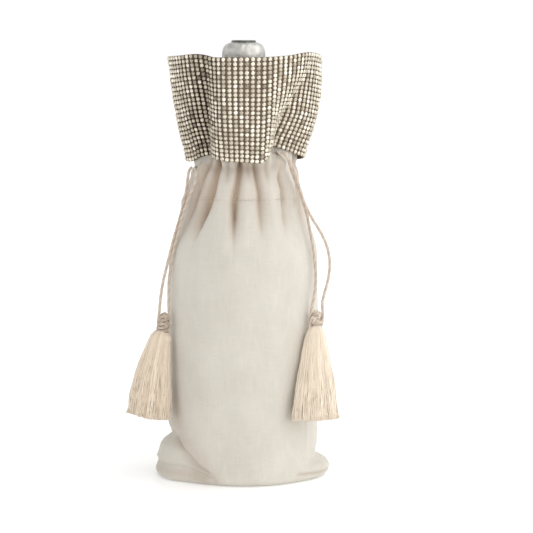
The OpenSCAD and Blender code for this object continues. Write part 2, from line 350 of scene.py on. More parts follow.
def yarn_look(name, light, dark, rough, sheen):
    """Spun yarn: each strand has its own tone, with fine fibres along it."""
    fuzz = {"Sheen Weight": sheen, "Sheen Roughness": 0.4, "Specular IOR Level": 0.3}
    look = Look(name, rough=rough, **fuzz)
    tone = look.attribute("tone", "Fac")
    fibres = look.streaks(look.position(), (2400, 2400, 500))
    mixed = look.math("ADD", look.math("MULTIPLY", tone, 0.6), look.math("MULTIPLY", fibres, 0.4))
    colour = look.ramp(mixed, (0.25, dark), (0.75, light))
    return look.finish(colour, look.bump(fibres, 0.5, 0.0002))


linen = linen_look("linen_cloth", linear(217, 212, 202), linear(195, 189, 177), lined_from=0.2024)
lining = linen_look("linen_lining", linear(214, 205, 190), linear(186, 175, 158))
tape = linen_look("cotton_tape_weave", linear(226, 218, 204), linear(198, 188, 172), pitch=0.0009)
thread = yarn_look("linen_sewing_thread", linear(213, 206, 194), linear(188, 179, 166), 0.7, 0.3)
cord_yarn = yarn_look("twisted_cord_yarn", linear(230, 217, 202), linear(169, 151, 134), 0.65, 0.4)
tassel_yarn = yarn_look("tassel_yarn_strands", linear(246, 233, 214), linear(208, 188, 164), 0.6, 0.5)
wrap_yarn = yarn_look("tassel_wrap_thread", linear(226, 205, 178), linear(176, 150, 122), 0.6, 0.4)


def gem_look():
    coat = {"Coat Weight": 0.6, "Coat Roughness": 0.03}
    look = Look("stone_glass_foiled", rough=0.06, metal=0.55, **coat)
    tone = look.attribute("tone", "Fac")
    # The tone varies at random from stone to stone, and is lowered as painted shade in the collar's
    # valleys.
    colour = look.ramp(tone, (0.0, linear(120, 107, 91)), (0.35, linear(180, 168, 148)),
                       (0.7, linear(218, 208, 189)), (1.0, linear(250, 244, 229)))
    return look.finish(colour)


def cup_look():
    look = Look("stone_cup_metal", rough=0.3, metal=1.0)
    wear = look.noise(look.position(), 900.0, 3.0)
    colour = look.ramp(wear, (0.3, linear(146, 134, 119)), (0.7, linear(204, 193, 177)))
    # Painted shade: the cups darken with their tone, which is mostly the collar's painted valley shade and
    # partly random.
    colour = look.deepen(look.attribute("tone", "Fac"), colour, (0.12, 0.09, 0.08))
    return look.finish(colour, look.bump(wear, 0.2, 0.0001))


def net_look():
    look = Look("stone_net_fabric", rough=0.75, **{"Specular IOR Level": 0.3})
    cloth = look.attribute("cloth")
    strands = look.streaks(cloth, (900, 900, 1), 0.5)
    colour = look.ramp(strands, (0.3, linear(92, 78, 65)), (0.75, linear(136, 119, 103)))
    # Painted shade: the net darkens deep in the collar's valleys.
    colour = look.deepen(look.attribute("fold", "Fac"), colour, (0.16, 0.12, 0.1))
    return look.finish(colour, look.bump(strands, 0.6, 0.0003))


def foil_look(name, light, dark, rough):
    look = Look(name, rough=rough, metal=1.0)
    spots = look.noise(look.position(), 260.0, 4.0, 0.6)
    scuff = look.noise(look.position(), 1400.0, 2.0)
    colour = look.ramp(spots, (0.35, dark), (0.65, light))
    worn = look.math("MULTIPLY_ADD", scuff, 0.25, rough - 0.1)
    return look.finish(colour, look.bump(scuff, 0.25, 0.0002), worn)


gem, cup, net = gem_look(), cup_look(), net_look()
foil = foil_look("crinkled_foil", linear(216, 214, 209), linear(190, 188, 182), 0.46)
disc_metal = foil_look("foil_top_disc", linear(132, 134, 130), linear(96, 98, 95), 0.38)


def glass_look():
    look = Look("bottle_green_glass", rough=0.04, **{"Transmission Weight": 0.75, "IOR": 1.5})
    flow = look.noise(look.position(), 30.0, 2.0)
    colour = look.ramp(flow, (0.3, linear(38, 58, 30)), (0.7, linear(54, 78, 40)))
    return look.finish(colour, look.bump(flow, 0.05, 0.001))


def wine_look():
    look = Look("red_wine", rough=0.08, **{"Transmission Weight": 0.2, "IOR": 1.34})
    depth = look.noise(look.position(), 18.0, 2.0)
    return look.finish(look.ramp(depth, (0.3, linear(58, 6, 16)), (0.7, linear(84, 12, 24))))


def cork_look():
    look = Look("cork_bark", rough=0.85)
    grain = look.noise(look.position(), 520.0, 5.0, 0.65)
    pits = look.node("TexVoronoi", {"Vector": look.position(), "Scale": 420.0}).outputs["Distance"]
    colour = look.ramp(look.math("MULTIPLY", grain, look.math("MULTIPLY_ADD", pits, 0.6, 0.7)),
                       (0.2, linear(120, 84, 52)), (0.6, linear(204, 164, 118)))
    return look.finish(colour, look.bump(pits, 0.4, 0.0004))


for node, mat in (("bottle_glass", glass_look()), ("wine_fill", wine_look()), ("cork", cork_look())):
    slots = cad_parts[node].data.materials
    if slots:
        slots[0] = mat
    else:
        slots.append(mat)


# ---------------------------------------------------------------- drawcords, on the routes of the CAD cords

CORD_D = 2.2
LEFT_ROUTE = [
    [-36.2, -20.6, 223], [-38, -21.3, 221.5], [-39.2, -21.3, 216], [-40.2, -21.2, 208],
    [-42.5, -20.5, 197], [-45.2, -19.8, 187], [-48.5, -19, 176], [-51.5, -18.5, 165],
    [-54.3, -18.3, 154], [-57, -18.5, 143], [-58.8, -19, 132.5], [-59.6, -19.6, 124.5],
    [-60.2, -20, 118.5], [-60.8, -20, 113.5], [-59.8, -20, 109.1], [-56.5, -20, 106.9],
    [-53.2, -20, 109.1], [-52.2, -20, 113.5], [-52.9, -20, 118.5], [-53.3, -19.4, 124.5],
    [-53.3, -18.5, 133], [-53, -18, 143], [-51.5, -18.2, 154], [-49.5, -19.3, 165],
    [-46.5, -21, 176], [-43.6, -22.4, 187], [-40.4, -23.6, 197], [-36.8, -25.1, 206],
    [-34, -26.8, 213], [-33, -27.2, 218], [-33.4, -26.2, 221.4], [-34.5, -23.9, 223.2],
]
RIGHT_ROUTE = [
    [25.8, -32.5, 234], [28.6, -34.2, 233], [31.6, -33.4, 228], [35.5, -30.8, 220],
    [38.5, -29.2, 210], [42.5, -28, 198], [47.5, -27, 188], [54.2, -26, 177],
    [58.4, -25.8, 167], [60.2, -26, 156], [59.2, -27.2, 146], [57, -29, 137.5],
    [54.9, -31.2, 129.5], [55, -32.6, 123.5], [54.9, -33, 117.5], [53.8, -33, 113.1],
    [50.5, -33, 110.9], [47.2, -33, 113.1], [46.2, -33, 117.5], [46.9, -32.6, 123.5],
    [48.5, -30.4, 130], [50, -27, 138.5], [50.6, -23.8, 147], [49.8, -22.8, 156],
    [48.6, -22.4, 166], [46.8, -21.8, 176], [44.6, -21.4, 188], [41.8, -22.2, 198],
    [37.6, -25, 210], [33.6, -27.8, 220], [31.2, -29.4, 228], [29.8, -30, 232.6],
    [27.8, -30.8, 234],
]
# How far each tassel's hinge lies under its knot.
HINGE_DROP = 8.7
SKIRT_YARNS = 900
# Half widths of the skirts, across and outward, at their ends.
SKIRT_HALF_WIDE, SKIRT_HALF_DEEP = 16.4, 9.5
# For each side: the cord's route, its knot's place, half height and rise, and the coil in the knot (reach
# at its top and its foot, the foot's height, and the foot's shift across). Then the tassel: its lean in
# degrees, the ways it leans and spreads, its skirt's length and its crown over the hinge, its painted light
# (a lift of its knot's and yarns' tone, lighter on the right where the key light falls and darker in the
# shade on the left), and its seed. Last, by distance under the hinge, the skirt's width as a share, and how
# far it is set off against the way across.
CORDS = {
    "left": {
        "route": LEFT_ROUTE, "knot": (-56.5, -20, 113), "knot_half": 6.2, "knot_rise": 2.4,
        "coil": (2.4, 3.9, -7.4, -1.6), "lean": 12, "way": (-0.927, -0.375), "wide": (1.0, 0.1),
        "length": 60.6, "crown": 2.2, "painted_light": -0.1, "seed": 11,
        "bell": [(-2.2, 0.31), (0, 0.4), (3, 0.46), (7, 0.51), (13, 0.58), (23, 0.69), (33, 0.8),
                 (43, 0.87), (54, 0.91), (63, 0.92)],
        "set_off": [(-2.2, 1.8), (0, 2.3), (3, 2.4), (13, 2.4), (25, 2.3), (34, 1.8), (44, 0.8), (54, 0.0),
                    (63, -0.2)],
    },
    "right": {
        "route": RIGHT_ROUTE, "knot": (50.5, -33, 117), "knot_half": 6.0, "knot_rise": 1.8,
        "coil": (2.2, 2.6, -5.6, 0.0), "lean": 10.4, "way": (0.156, -0.988), "wide": (0.955, 0.296),
        "length": 62.6, "crown": 4.0, "painted_light": 0.12, "seed": 23,
        "bell": [(-4, 0.21), (-2, 0.29), (0, 0.38), (4, 0.46), (9, 0.52), (20, 0.64), (32, 0.77),
                 (46, 0.91), (60, 0.99), (63, 1)],
        "set_off": [(-4, 0.3), (9, 1.0), (28, 1.5), (34, 1.5), (45, 1.9), (54, 2.1), (60, 2.1)],
    },
}


def drawcord(side, facts):
    path = resample(facts["route"], 0.5)
    soup = Soup()
    twisted(soup, path, CORD_D)
    return soup.piece(side + "_drawcord_twist", cord_yarn), path


def cord_knot(side, facts):
    """Both cord ends in one overhand knot: two strands along a squeezed trefoil, round a coil."""
    centre = np.array(facts["knot"], float)
    wide = np.array([*facts["wide"], 0.0])
    out = np.array([facts["wide"][1], -facts["wide"][0], 0.0])
    # The trefoil, 1 unit high either way once it is shifted and scaled.
    half_wide, half_deep, strand = 1.25, 2.0, 2.1
    t = np.linspace(0, TAU, 121)[:-1]
    across = (np.sin(t) + 2 * np.sin(2 * t)) * half_wide
    up = (-(np.cos(t) - 2 * np.cos(2 * t)) / 2.53 - 0.19) * (facts["knot_half"] - 2) + facts["knot_rise"]
    deep = -np.sin(3 * t) * half_deep
    path = centre + across[:, None] * wide + up[:, None] * UP + deep[:, None] * out
    path = resample(path, 0.5, closed=True)
    _, u, v = frames_along(path, True)
    soup = Soup()
    # The knot's tone carries the side's painted light: lighter on the right, darker on the left.
    tone = 0.5 + 1.6 * facts["painted_light"]
    for sign in (-1, 1):
        twisted(soup, path + sign * 0.9 * u + sign * 0.3 * v, strand, closed=True, tone=tone)
    coils, coil_strand, flat = 5, 2.6, 0.86
    turns = np.linspace(0, TAU * coils, 121)
    narrow, broad, foot, shift = facts["coil"]
    top = facts["knot_rise"] + facts["knot_half"] - 3
    share = (turns / turns[-1])[:, None]
    reach = narrow + (broad - narrow) * share
    coil = (centre + shift * share * wide
            + reach * (np.cos(turns)[:, None] * wide + flat * np.sin(turns)[:, None] * out)
            + (top + (foot - top) * share) * UP)
    twisted(soup, resample(coil, 0.6), coil_strand, tone=0.35)
    return soup.piece(side + "_overhand_knot", cord_yarn)


def tassel_places(facts):
    """The function that places a point by its distances across, outward and down from the hinge."""
    hinge = np.array(facts["knot"], float) - HINGE_DROP * UP
    way = np.array([*facts["way"], 0.0])
    a = math.radians(facts["lean"])
    down = -UP * math.cos(a) + way * math.sin(a)
    wide = np.array([*facts["wide"], 0.0])
    wide = wide - down * wide.dot(down)
    wide /= np.linalg.norm(wide)
    deep = np.cross(down, wide)
    return lambda x, y, z: hinge + x * wide + y * deep + z * down


def ring_of(at, x_reach, y_reach, z, count, x=0.0):
    """Points of an oval round the tassel's middle."""
    angles = [TAU * k / count for k in range(count)]
    return [at(x + x_reach * math.cos(a), y_reach * math.sin(a), z) for a in angles]


def add_core(soup, at, rings, sides):
    """A round body through rings of (radius, distance under the hinge), dark as painted shade between the
    yarns round it.
    """
    core = [point for r, z in rings for point in ring_of(at, r, r, z, sides)]
    soup.add(core, grid_faces(len(rings), sides, True), 0.2)


def tassel_head(side, at, rng):
    """Yarns folded over the hanger, with a core behind them."""
    soup = Soup()
    rings = np.array([(1.0, -1.4), (3.0, -0.9), (4.4, 0.3), (5.0, 1.9), (5.0, 3.4), (4.6, 4.9)])
    core_share = 0.86
    add_core(soup, at, [(r * core_share, z) for r, z in rings], 16)
    yarns, yarn_radius, turn_a_ring = 30, 0.55, 0.10
    for k in range(yarns):
        a0 = TAU * k / yarns + rng.uniform(-0.05, 0.05)
        pts = []
        for i, (r, z) in enumerate(rings):
            a = a0 + turn_a_ring * i
            pts.append(at(r * math.cos(a), r * math.sin(a), z))
        soup.add(*tube(resample(pts, 0.8), yarn_radius, 6), tone=rng.uniform(0.25, 0.85))
    return soup.piece(side + "_tassel_head_yarns", tassel_yarn)


def tassel_wrap(side, at):
    """A few turns of thread round the neck."""
    soup = Soup()
    turns, top, drop, points_a_turn = 5.2, 4.6, 2.7, 26
    neck_radius, core_radius, belly, thread_radius = 4.75, 4.55, 0.25, 0.36
    pts = []
    for t in np.linspace(0, 1, int(turns * points_a_turn)):
        a = TAU * turns * t
        r = neck_radius + belly * math.sin(math.pi * t)
        pts.append(at(r * math.cos(a), r * math.sin(a), top + drop * t))
    soup.add(*tube(pts, thread_radius, 6), tone=0.55)
    add_core(soup, at, [(core_radius, z) for z in (top, 6.0, top + drop)], 24)
    return soup.piece(side + "_tassel_neck_wrap", wrap_yarn)


# Half depth of a skirt at distances under its hinge.
SKIRT_DEPTH = [(-5.4, 3.6), (-2, 4.6), (0, 5.4), (4, 6.1), (9, 6.9), (20, 7.9), (32, 8.7),
               (60, SKIRT_HALF_DEEP)]
GOLDEN_ANGLE = 2.399963


def bell(facts, z):
    """Half widths across and outward, and the shift across, at a distance under the hinge."""
    across = SKIRT_HALF_WIDE * np.interp(z, *zip(*facts["bell"]))
    return across, np.interp(z, *zip(*SKIRT_DEPTH)), -np.interp(z, *zip(*facts["set_off"]))


def skirt_core(at, facts):
    """A capped body inside the skirt, and its faces."""
    sides, foot = 20, facts["length"] - 5
    rings = [(z, 0.84) for z in np.linspace(7, foot, 9)] + [(foot, 0.45), (foot, 0.02)]
    points = []
    for z, share in rings:
        across, out, shift = bell(facts, z)
        points += ring_of(at, share * across, share * out, z, sides, shift)
    return points, grid_faces(len(rings), sides, True)


def tassel_skirt(side, at, rng, facts):
    """Separate yarns over the head and the wrap, which open like a bell to uneven ends, round a core."""
    soup = Soup()
    length = facts["length"]
    # The core is darker, as painted shade between the yarns, and carries the side's painted light.
    soup.add(*skirt_core(at, facts), tone=0.35 + facts["painted_light"])
    for k in range(SKIRT_YARNS):
        # Half of the yarns are outside, a sixth just under them, and the rest fill the open end.
        kind = k % 6
        if kind < 3:
            share, start = rng.uniform(0.93, 1.0), -facts["crown"]
        elif kind == 3:
            share, start = rng.uniform(0.86, 0.93), 7.0
        else:
            share, start = 0.84 * math.sqrt(rng.uniform(0.0, 1.0)), length - 12.0
        angle = k * GOLDEN_ANGLE + rng.uniform(-0.2, 0.2)
        ca, sa = math.cos(angle), math.sin(angle)
        clump = 0.030 * math.sin(5 * angle + facts["seed"]) + 0.026 * math.sin(12 * angle + 1.7)
        end = length - share - abs(rng.gauss(0, 0.9)) - 0.4 * (1 + math.sin(3 * angle))
        bend_x, bend_y = rng.uniform(-1.0, 1.0), rng.uniform(-0.8, 0.8)
        phase, waves = rng.uniform(0, TAU), rng.uniform(1.4, 3.6)
        pts = []
        for z in np.linspace(start, end, 17):
            t = max(0.0, z / end)
            sway = math.sin(TAU * waves * t + phase) * t
            across, out, shift = bell(facts, z)
            spread = share * (1 + clump * min(1, 3 * t))
            x, y = shift + spread * ca * across, spread * sa * out
            pts.append(at(x + bend_x * sway, y + bend_y * sway, z))
        # Each yarn's tone: the side's painted light, a pattern round the skirt and a random part.
        tone = 0.6 + facts["painted_light"] + 0.12 * math.sin(9 * angle + 0.4) + rng.uniform(-0.2, 0.2)
        soup.add(*tube(resample(pts, 4.6), rng.uniform(0.27, 0.36), 4), tone=tone)
    return soup.piece(side + "_tassel_skirt_yarns", tassel_yarn)


cord_sets = {}
for side, facts in CORDS.items():
    cord_piece, cord_path = drawcord(side, facts)
    knot_piece = cord_knot(side, facts)
    at, rng = tassel_places(facts), random.Random(facts["seed"])
    head_piece, wrap_piece = tassel_head(side, at, rng), tassel_wrap(side, at)
    skirt_piece = tassel_skirt(side, at, rng, facts)
    cord_sets[side] = cord_piece, cord_path, knot_piece, head_piece, wrap_piece, skirt_piece


# ---------------------------------------------------------------- the bottle's outline and smooth tables

BODY_R, NECK_R = 36.25, 14.6
SHOULDER_Z, NECK_Z = 188, 232
BOTTLE_FOOT = 1.4


def bottle_radius(z):
    z = np.asarray(z, float) - BOTTLE_FOOT
    a = np.arcsin(np.clip((z - SHOULDER_Z) / (NECK_Z - SHOULDER_Z), 0, 1))
    shoulder = NECK_R + (BODY_R - NECK_R) * np.cos(a) ** 0.9
    return np.where(z < SHOULDER_Z, BODY_R, np.where(z < NECK_Z, shoulder, NECK_R))


def smooth_interp(z, zs, values):
    """Smooth curve through a table, by cubic steps with shared slopes."""
    zs, values = np.asarray(zs, float), np.asarray(values, float)
    slope = np.gradient(values, zs)
    i = np.clip(np.searchsorted(zs, z, "right") - 1, 0, len(zs) - 2)
    h = zs[i + 1] - zs[i]
    t = np.clip((z - zs[i]) / h, 0, 1)
    return ((2 * t ** 3 - 3 * t ** 2 + 1) * values[i] + (t ** 3 - 2 * t ** 2 + t) * h * slope[i]
            + (-2 * t ** 3 + 3 * t ** 2) * values[i + 1] + (t ** 3 - t ** 2) * h * slope[i + 1])


def table(x, pairs):
    return np.interp(x, *zip(*pairs))


def table_round(b, pairs):
    """Smooth curve round the bag through a table by bearing."""
    return smooth_interp(bearing_gap(b, 0), *zip(*pairs))


def window(x, flat, fade):
    """1 within flat of the middle, falling smoothly to 0 over a fade."""
    t = np.clip((np.abs(x) - flat) / fade, 0, 1)
    return 0.5 + 0.5 * np.cos(math.pi * t)


def hump(x, width):
    return np.exp(-(x / width) ** 2)


def bearing_gap(a, b):
    return (np.asarray(a) - b + 180) % 360 - 180


def soft_abs(x, soft):
    return np.sqrt(x * x + soft * soft) - soft


def polar(b, r, z):
    a = np.radians(b)
    return np.stack([r * np.sin(a), -r * np.cos(a), z + 0 * r], -1)


# ---------------------------------------------------------------- collar surface

COLLAR_COLS, COLLAR_ROWS = 84, 24
# Each valley: bearings and depths from the bottom to the top, then the reach in degrees of the wall before
# it and after it, at the bottom and at the top, with the power that curves the wall.
VALLEY_SHARES = [0, 0.15, 0.38, 0.6, 0.83, 1]
COLLAR_VALLEYS = [
    ([-44, -41.5, -36, -33.5, -31, -30], [10.5, 10.5, 9.8, 9.0, 6.8, 4.5], (42, 50, 1.15), (19, 18, 1.25)),
    ([36, 37.5, 41, 50.6, 60.5, 66], [11.5, 11.0, 8.8, 7.2, 3.8, 1.2], (13, 30, 1.9), (38, 32, 1.1)),
    ([112, 112, 113, 115, 118, 120], [9.0, 8.5, 7.5, 6.0, 4.5, 3.5], (20, 22, 1.8), (26, 28, 1.8)),
    ([152, 152, 153, 154, 156, 158], [9.0, 8.5, 7.5, 6.5, 5.0, 4.0], (20, 22, 1.8), (20, 22, 1.8)),
    ([-162, -162, -162, -163, -164, -165], [9.0, 8.5, 7.5, 6.0, 4.5, 3.5], (20, 22, 1.8), (26, 28, 1.8)),
    ([-112, -112, -113, -114, -116, -118], [9.0, 8.5, 7.5, 6.0, 4.5, 3.5], (26, 28, 1.8), (16, 16, 1.8)),
]
# Rise of the collar's lower and upper edges, as (bearing, height) over LOWER_EDGE and UPPER_EDGE.
LOWER_EDGE, UPPER_EDGE = 226.4, 299.3
LOWER_RISE = [(-180, 0), (-150, 1.2), (-120, 0), (-90, 0), (-80, 0.1), (-70, 1.2), (-60, 3.8), (-44.5, 5.6),
              (-30, 3.8), (-20, 2.4), (0, 1.6), (12, 1.0), (18, 1.2), (22, 4), (26, 9.5), (31, 12.2),
              (38, 12.4), (45, 10.8), (57, 8.2), (67, 5.5), (90, 2.2), (110, 0), (135, 1.2), (160, 0.2),
              (180, 0)]
UPPER_RISE = [(-180, -1.6), (-140, -1.0), (-110, -1.6), (-90, 0.5), (-70, 1.1), (-57, 1.6), (-48, 2.2),
              (-40, 2.5), (-32, 1.8), (-25, 0.5), (-15, 0.2), (0, 0.2), (15, 0.4), (27, 1.0), (37, 1.7),
              (47, 3.0), (58, 3.7), (70, 3.2), (80, 2.1), (95, 0.5), (110, -0.8), (150, -1.8), (180, -1.6)]
# The net's radius, the bulge of its right side and the slimmer left side, by share of its height.
NET_RADIUS = [(0, 41.6), (0.1, 43.0), (0.2, 45.0), (0.4, 48.8), (0.6, 51.4), (0.8, 52.8), (1.0, 53.2)]
NET_BULGE = [(0, 0), (0.2, 1.2), (0.5, 1.6), (0.8, 1.4), (1, 0.6)]
NET_SLIM = [(0, 2.0), (0.1, 2.1), (0.2, 2.0), (0.4, 2.8), (0.6, 2.8), (0.85, 2.0), (1, 1.0)]
# Weight of the painted shade in the collar's valleys, by bearing: heavy in the left valley, light at the
# right where the light falls.
VALLEY_SHADE = [(-180, 1.0), (-110, 1.0), (-65, 1.7), (-30, 1.2), (15, 0.3), (40, 0.15), (90, 0.4),
               (130, 1.0), (180, 1.0)]


def collar_low(b):
    """Height of the collar's lower edge."""
    return LOWER_EDGE + table_round(b, LOWER_RISE)


def collar_high(b):
    """Height of the collar's upper edge."""
    return UPPER_EDGE + table_round(b, UPPER_RISE)


def collar_radius(b, s):
    """Radius of the net at a bearing and a share of its height."""
    r = (table(s, NET_RADIUS) + table(s, NET_BULGE) * window(bearing_gap(b, 86), 16, 34)
         - table(s, NET_SLIM) * window(bearing_gap(b, -92), 16, 32))
    for bearings, depths, before, after in COLLAR_VALLEYS:
        off = bearing_gap(b, np.interp(s, VALLEY_SHARES, bearings))
        low, high, power = (np.where(off < 0, x, y) for x, y in zip(before, after))
        wall = np.clip(1 - soft_abs(off, 1.0) / (low + (high - low) * s), 0, 1) ** power
        r = r - np.interp(s, VALLEY_SHARES, depths) * wall
    return r


def collar_shade(b, s):
    """Painted shade of the net, from 0 to 1: how deep in a valley it lies, weighted by bearing, with a
    painted shadow low in the left valley.
    """
    crest = collar_radius(b, s)
    for way in range(-30, 31, 10):
        crest = np.maximum(crest, collar_radius(b + way, s))
    weight = table_round(b, VALLEY_SHADE)
    # Painted shadow low in the left valley.
    shadow_pocket = window(bearing_gap(b, -48), 8, 7) * np.clip((0.5 - s) / 0.16, 0, 1)
    return np.clip(weight * (crest - collar_radius(b, s)) / 10 + 0.9 * shadow_pocket, 0, 1)


def collar_point(b, s, off=0.0):
    z = collar_low(b) * (1 - s) + collar_high(b) * s
    return polar(b, collar_radius(b, s) + off, z)


def collar_columns(s, count, start):
    """Bearings of evenly spaced columns at one height, counted from the middle of the front lobe."""
    b = np.linspace(-4, 356, 1441)
    run = run_along(collar_point(b, s))
    return np.interp((np.arange(count) + start) / count * run[-1], run, b)


# ---------------------------------------------------------------- cloth surface

CLOTH_ROUND = 335.0
HEM_Z = 250.0
# Each gather: its line of (bearing, height) from the collar down, its depth, and the widths in degrees of
# its walls at the left and at the right.
GATHERS = [
    ([(-45, 227), (-53, 208), (-61, 190), (-64, 170)], 0.7, 2.4, 2.4),
    ([(-29.2, 227), (-31.5, 215), (-33.7, 205), (-36.9, 196), (-41.6, 187), (-45, 178), (-47, 169)],
     1.8, 3.2, 1.1),
    ([(-18, 229), (-18.6, 214)], 0.5, 1.5, 1.5),
    ([(-5.0, 227), (-6.8, 215), (-8.8, 207), (-9.9, 200), (-9.6, 186), (-9.0, 164)], 1.6, 1.3, 1.7),
    ([(3.5, 229), (4, 216)], 0.4, 1.5, 1.5),
    ([(11.4, 227), (13.5, 216), (15.6, 207), (15.0, 195), (13.9, 168)], 0.9, 2.4, 2.8),
    ([(24, 229), (25, 214)], 0.4, 1.8, 1.8),
    ([(38, 227), (42.5, 208), (39.5, 190), (36, 166)], 0.65, 2.0, 2.8),
    ([(73, 227), (70, 170)], 0.95, 2.6, 4.0), ([(95, 227), (98, 178)], 1.0, 3.0, 2.6),
    ([(118, 227), (114, 165)], 1.0, 3.6, 2.4), ([(140, 227), (142, 205), (147, 175)], 1.3, 2.4, 3.6),
    ([(163, 227), (160, 168)], 1.1, 3.0, 2.4), ([(-174, 227), (-178, 176)], 1.2, 2.4, 3.6),
    ([(-152, 227), (-151, 205), (-147, 165)], 1.1, 4.0, 2.4), ([(-130, 227), (-134, 172)], 1.3, 2.4, 3.6),
    ([(-108, 227), (-104, 168)], 0.9, 3.6, 2.6), ([(-81, 227), (-84, 176)], 1.0, 2.6, 3.6),
]
# The body's half width and half depth at some heights, and the round neck's radius over them.
BODY = [(0, 56, 43.5), (3, 57.5, 45.6), (8, 56, 46.4), (15, 54.2, 47.3), (30, 52.8, 49.4), (60, 52.9, 52),
        (100, 53.3, 53), (140, 52.6, 52.6), (163, 51.6, 51.6), (178, 48.6, 48.6), (190, 46.2, 46.2),
        (199, 44.4, 44.4), (212, 40.9, 40.9), (221, 38.8, 38.8), (230, 38, 38), (238, 37.6, 37.6),
        (244, 37.4, 37.4), (250, 37.2, 37.2)]


def line_distance(b, z, line, per_degree):
    """Distance to a line of (bearing, height) points, and the same with a sign, over 0 at its left."""
    best = np.full(np.shape(b), 1e9)
    signed = np.zeros(np.shape(b))
    for (b0, z0), (b1, z1) in zip(line[:-1], line[1:]):
        px, pz = bearing_gap(b, b0) * per_degree, z - z0
        dx, dz = bearing_gap(b1, b0) * per_degree, z1 - z0
        t = np.clip((px * dx + pz * dz) / (dx * dx + dz * dz), 0, 1)
        d = np.hypot(px - t * dx, pz - t * dz)
        near = d < best
        best = np.where(near, d, best)
        signed = np.where(near, np.sign(dx * pz - dz * px) * d, signed)
    return best, signed


def stroke(b, z, line, width, depth):
    """A soft crease or ridge of the cloth along a line."""
    distance, _ = line_distance(b, z, line, math.radians(1) * 52.0)
    return depth * hump(distance, width)


def lip(b, z, line, width, height):
    """A step along a line: the cloth to the left of the line's way stands over the rest."""
    distance, signed = line_distance(b, z, line, 0.9)
    ends = [np.hypot(bearing_gap(b, end[0]) * 0.9, z - end[1]) for end in (line[0], line[-1])]
    fade = np.clip(np.minimum(*ends) / 6, 0, 1)
    return height * fade * np.tanh(signed / 0.7) * np.exp(-distance / width)


# Where the body hangs over the left ear, and the fold along the ear's foot, as (bearing, height).
OVERHANG = [(-27, 7), (-30.5, 11.6), (-38.4, 15.2), (-46.3, 20.8), (-56, 27.1), (-67.6, 30.4), (-80, 31.5)]
FOOT_FOLD = [(-26, 5.5), (-35, 9.0), (-46.5, 11.8), (-57.6, 13.0), (-78.6, 11.6), (-104, 12.5)]
# How far the left ear and the right one stand out, by height.
LEFT_EAR = [(0, 4.8), (1.5, 6.0), (3, 5.7), (7, 6.3), (12.4, 6.2), (15, 6.2), (20, 6.0), (22.8, 5.5),
            (25.4, 2.8), (28, -0.6), (30.3, -2.1), (33, -1.6), (37.6, 0.5), (42, 0)]
RIGHT_EAR = [(0, 2.4), (1.3, 2.9), (4, 3.6), (6.9, 5.2), (9, 4.8), (10.6, 3.0), (11.6, -0.6), (12.6, -3.2),
             (16, -2.9), (22, -0.8), (31, 0.4), (40, 0)]
# The neck's bulges at the right and at the left, by height.
RIGHT_NECK = [(186, 0), (198, 1.3), (206, 2.0), (213, 2.1), (221, 2.8), (230, 2.0), (240, 0)]
LEFT_NECK = [(184, 0.6), (191, 1.6), (198, 2.8), (206, 1.0), (213, 0), (221, -1.2), (232, 0)]
# Creases and ridges of the body: line, width, and how far it stands out.
CREASES = [
    ([(-50, 36), (-34, 22), (-22, 13)], 6.0, 0.5), ([(50, 6), (66, 4.6), (80, 4.4)], 1.1, -1.5),
    ([(40, 30), (52, 16), (60, 9)], 3.5, -0.8), ([(20, 6), (38, 4), (52, 3.6)], 2.0, -0.6),
    ([(58, 24), (59, 100), (57, 196)], 1.6, 0.75), ([(64, 24), (65, 100), (63, 190)], 4.0, -0.8),
    ([(150, 38), (128, 24), (116, 14)], 4.0, -1.1), ([(-150, 44), (-128, 28), (-112, 20)], 4.5, -1.3),
    ([(-20, 60), (-6, 42), (4, 30)], 8.0, -0.5), ([(46, 194.5), (53, 197), (60, 201)], 1.3, -0.8),
    ([(50, 203), (57, 200)], 1.1, -0.5),
]
# Soft drapes round the body: height, how many go round, twist in degrees a millimetre, and start.
DRAPES = [(0.55, 3, 0.25, 40), (0.35, 7, -0.5, 0), (0.22, 13, 0.9, 50)]
# Painted shade along folds: over the body's lower left, under the left ear's overhang and along the ears'
# feet. Each has its line, width, and the share at its middle.
PAINTED_FOLD_SHADES = [
    ([(-74, 60), (-66, 44), (-56, 31), (-43, 19), (-33, 10)], 9.0, 0.32),
    ([(-84, 33), (-70, 31), (-57, 26)], 3.0, 0.25), ([(-36, 4), (-57, 7), (-79, 6), (-100, 4)], 4.0, 0.3),
    ([(48, 6.2), (66, 5.0), (80, 4.8)], 1.6, 0.3),
]
# Height of the casing's stitch row.
CASING_ROW = 202
# Puffs of the cloth round the cord exits: bearing, height and least radius.
EXIT_PUFFS = [(-58, 223, 41.2), (41, 233.5, 41.0)]


def gather_depth(b, z):
    """How far the gathers draw the cloth in at the neck: rounded puffs between narrow valleys."""
    full = smooth_interp(z, [150, 163, 178, 190, 199, 212, 222, 232, 240, 250],
                         [0.2, 1.0, 3.2, 5.4, 6.4, 6.8, 6.4, 5.6, 5.0, 4.8])
    total = np.zeros(np.shape(b))
    for line, strength, before, after in GATHERS:
        bearings, heights = zip(*line[::-1])
        share = np.clip((heights[-1] - z) / (heights[-1] - heights[0]), 0, 1.4)
        off = bearing_gap(b, np.interp(z, heights, bearings))
        fade = window(np.clip(share, 0.55, 1.4) - 0.55, 0, 0.75)
        notch = 0.6 * hump(z - 224, 3.5)
        u = soft_abs(off, 0.4) / (np.where(off < 0, before, after) * (1 + 1.4 * share + notch))
        total = total + full * strength * fade * (0.7 * np.exp(-u) + 0.3 * np.exp(-u / 3))
    return total


def neck_bulge(b, z):
    """How far the neck stands out at the two sides."""
    return (table(z, RIGHT_NECK) * window(bearing_gap(b, 102), 14, 22)
            + table(z, LEFT_NECK) * window(bearing_gap(b, -102), 14, 22))


